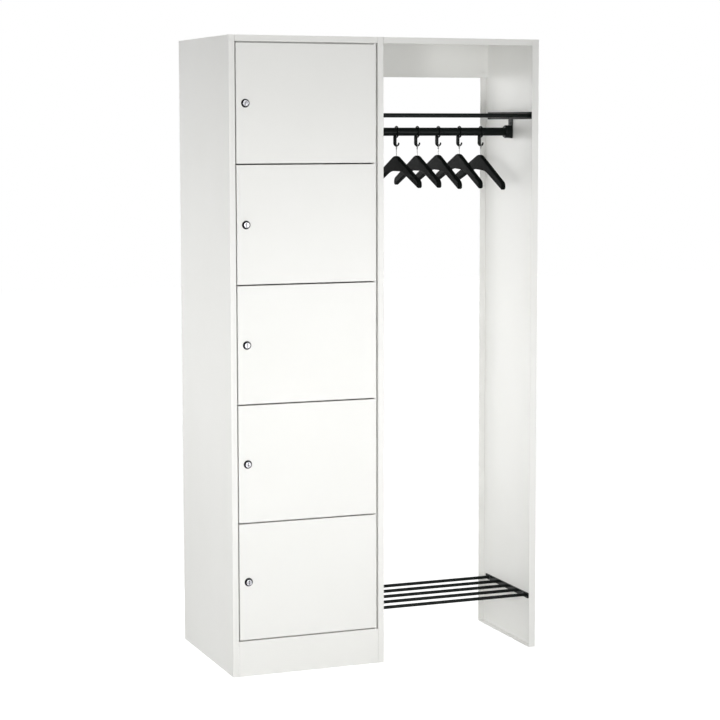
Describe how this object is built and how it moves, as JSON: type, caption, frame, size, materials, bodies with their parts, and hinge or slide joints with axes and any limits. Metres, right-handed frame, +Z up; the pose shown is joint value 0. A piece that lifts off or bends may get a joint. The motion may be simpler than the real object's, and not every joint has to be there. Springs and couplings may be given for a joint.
{
  "type": "locker and open coat bay combination",
  "caption": "Sheet-steel column of lockable doors joined to an open coat bay with hat shelf, coat rail, hangers and shoe rack.",
  "frame": {"origin": "centre of the bounding box on the floor", "axes": "+X to the right seen from the front, +Y to the back, +Z up; the doors face -Y"},
  "size_m": [0.97, 0.507, 1.85],
  "materials": {
    "carcass_white": "warm white powder coat, fine texture, satin",
    "door_white": "white powder coat, fine texture, satin",
    "rack_black": "black powder coat, satin",
    "screw_black": "black oxide",
    "steel_pin": "bright steel",
    "wire_steel": "drawn steel wire, satin zinc",
    "buffer_rubber": "soft grey rubber",
    "lock_black": "black, satin",
    "lock_chrome": "nickel-plated",
    "hook_black": "black, semi-gloss",
    "hanger_black": "black, fine satin"
  },
  "bodies": {
    "cabinet": {"side_panel_left": "carcass_white", "partition_panel": "carcass_white", "side_panel_right": "carcass_white", "locker_top": "carcass_white", "locker_back": "carcass_white", "locker_base": "carcass_white", "plinth_front": "carcass_white", "compartment_shelf_1": "carcass_white", "compartment_shelf_2": "carcass_white", "compartment_shelf_3": "carcass_white", "compartment_shelf_4": "carcass_white", "hinge_post": "carcass_white", "hinge_pins": "steel_pin", "door_buffers": "buffer_rubber", "coat_bay_top": "carcass_white", "rear_traverse": "carcass_white", "hat_shelf_tubes": "rack_black", "hat_shelf_bar_left": "rack_black", "hat_shelf_bar_right": "rack_black", "shoe_rack_tubes": "rack_black", "shoe_rack_bar_left": "rack_black", "shoe_rack_bar_right": "rack_black", "coat_rail": "rack_black", "rail_bracket_left": "rack_black", "rail_bracket_right": "rack_black", "rail_socket_left": "rack_black", "rail_socket_right": "rack_black", "rack_screws": "screw_black"},
    "door_1": {"door_1": "door_white", "lock_housing_1": "lock_black"},
    "lock_1": {"lock_core_1": "lock_chrome"},
    "ring_1": {"ring_hook_1": "hook_black"},
    "wire_1": {"hanger_wire_1": "wire_steel"},
    "hanger_1": {"hanger_1": "hanger_black"},
    "door_2": {"door_2": "door_white", "lock_housing_2": "lock_black"},
    "lock_2": {"lock_core_2": "lock_chrome"},
    "ring_2": {"ring_hook_2": "hook_black"},
    "wire_2": {"hanger_wire_2": "wire_steel"},
    "hanger_2": {"hanger_2": "hanger_black"},
    "door_3": {"door_3": "door_white", "lock_housing_3": "lock_black"},
    "lock_3": {"lock_core_3": "lock_chrome"},
    "ring_3": {"ring_hook_3": "hook_black"},
    "wire_3": {"hanger_wire_3": "wire_steel"},
    "hanger_3": {"hanger_3": "hanger_black"},
    "door_4": {"door_4": "door_white", "lock_housing_4": "lock_black"},
    "lock_4": {"lock_core_4": "lock_chrome"},
    "ring_4": {"ring_hook_4": "hook_black"},
    "wire_4": {"hanger_wire_4": "wire_steel"},
    "hanger_4": {"hanger_4": "hanger_black"},
    "door_5": {"door_5": "door_white", "lock_housing_5": "lock_black"},
    "lock_5": {"lock_core_5": "lock_chrome"},
    "ring_5": {"ring_hook_5": "hook_black"},
    "wire_5": {"hanger_wire_5": "wire_steel"},
    "hanger_5": {"hanger_5": "hanger_black"}
  },
  "joints": [
    {"name": "door_hinge_1", "type": "hinge", "parent": "cabinet", "child": "door_1", "pos_m": [-0.0406, -0.24295, 1.6576], "axis": [0, 0, 1], "range_deg": [0, 110]},
    {"name": "lock_turn_1", "type": "hinge", "parent": "door_1", "child": "lock_1", "pos_m": [-0.4365, -0.24645, 1.6576], "axis": [0, 1, 0], "range_deg": [0, 90]},
    {"name": "door_hinge_2", "type": "hinge", "parent": "cabinet", "child": "door_2", "pos_m": [-0.0406, -0.24295, 1.3128], "axis": [0, 0, 1], "range_deg": [0, 110]},
    {"name": "lock_turn_2", "type": "hinge", "parent": "door_2", "child": "lock_2", "pos_m": [-0.4365, -0.24645, 1.3128], "axis": [0, 1, 0], "range_deg": [0, 90]},
    {"name": "door_hinge_3", "type": "hinge", "parent": "cabinet", "child": "door_3", "pos_m": [-0.0406, -0.24295, 0.968], "axis": [0, 0, 1], "range_deg": [0, 110]},
    {"name": "lock_turn_3", "type": "hinge", "parent": "door_3", "child": "lock_3", "pos_m": [-0.4365, -0.24645, 0.968], "axis": [0, 1, 0], "range_deg": [0, 90]},
    {"name": "door_hinge_4", "type": "hinge", "parent": "cabinet", "child": "door_4", "pos_m": [-0.0406, -0.24295, 0.6232], "axis": [0, 0, 1], "range_deg": [0, 110]},
    {"name": "lock_turn_4", "type": "hinge", "parent": "door_4", "child": "lock_4", "pos_m": [-0.4365, -0.24645, 0.6232], "axis": [0, 1, 0], "range_deg": [0, 90]},
    {"name": "door_hinge_5", "type": "hinge", "parent": "cabinet", "child": "door_5", "pos_m": [-0.0406, -0.24295, 0.2784], "axis": [0, 0, 1], "range_deg": [0, 110]},
    {"name": "lock_turn_5", "type": "hinge", "parent": "door_5", "child": "lock_5", "pos_m": [-0.4365, -0.24645, 0.2784], "axis": [0, 1, 0], "range_deg": [0, 90]},
    {"name": "ring_slide_1", "type": "slide", "parent": "cabinet", "child": "ring_1", "axis": [1, 0, 0], "range_m": [-0.04, 0.04]},
    {"name": "wire_swing_1", "type": "hinge", "parent": "ring_1", "child": "wire_1", "pos_m": [0.1023, -0.05645, 1.5337], "axis": [1, 0, 0], "range_deg": [-25, 25]},
    {"name": "hanger_swivel_1", "type": "hinge", "parent": "wire_1", "child": "hanger_1", "pos_m": [0.1023, -0.05671, 1.4837], "axis": [0, 0.0052, 1], "range_deg": [-12, 12]},
    {"name": "ring_slide_2", "type": "slide", "parent": "cabinet", "child": "ring_2", "axis": [1, 0, 0], "range_m": [-0.04, 0.04]},
    {"name": "wire_swing_2", "type": "hinge", "parent": "ring_2", "child": "wire_2", "pos_m": [0.1704, -0.05645, 1.5337], "axis": [1, 0, 0], "range_deg": [-25, 25]},
    {"name": "hanger_swivel_2", "type": "hinge", "parent": "wire_2", "child": "hanger_2", "pos_m": [0.1704, -0.05636, 1.4848], "axis": [0, -0.0017, 1], "range_deg": [-12, 12]},
    {"name": "ring_slide_3", "type": "slide", "parent": "cabinet", "child": "ring_3", "axis": [1, 0, 0], "range_m": [-0.04, 0.04]},
    {"name": "wire_swing_3", "type": "hinge", "parent": "ring_3", "child": "wire_3", "pos_m": [0.2398, -0.05645, 1.5337], "axis": [1, 0, 0], "range_deg": [-25, 25]},
    {"name": "hanger_swivel_3", "type": "hinge", "parent": "wire_3", "child": "hanger_3", "pos_m": [0.2398, -0.05472, 1.48643], "axis": [0, -0.0366, 0.9993], "range_deg": [-12, 12]},
    {"name": "ring_slide_4", "type": "slide", "parent": "cabinet", "child": "ring_4", "axis": [1, 0, 0], "range_m": [-0.04, 0.04]},
    {"name": "wire_swing_4", "type": "hinge", "parent": "ring_4", "child": "wire_4", "pos_m": [0.3096, -0.05645, 1.5337], "axis": [1, 0, 0], "range_deg": [-25, 25]},
    {"name": "hanger_swivel_4", "type": "hinge", "parent": "wire_4", "child": "hanger_4", "pos_m": [0.3096, -0.05441, 1.48885], "axis": [0, -0.0454, 0.999], "range_deg": [-12, 12]},
    {"name": "ring_slide_5", "type": "slide", "parent": "cabinet", "child": "ring_5", "axis": [1, 0, 0], "range_m": [-0.04, 0.04]},
    {"name": "wire_swing_5", "type": "hinge", "parent": "ring_5", "child": "wire_5", "pos_m": [0.3812, -0.05645, 1.5337], "axis": [1, 0, 0], "range_deg": [-25, 25]},
    {"name": "hanger_swivel_5", "type": "hinge", "parent": "wire_5", "child": "hanger_5", "pos_m": [0.3812, -0.05377, 1.48578], "axis": [0, -0.0558, 0.9984], "range_deg": [-12, 12]}
  ]
}
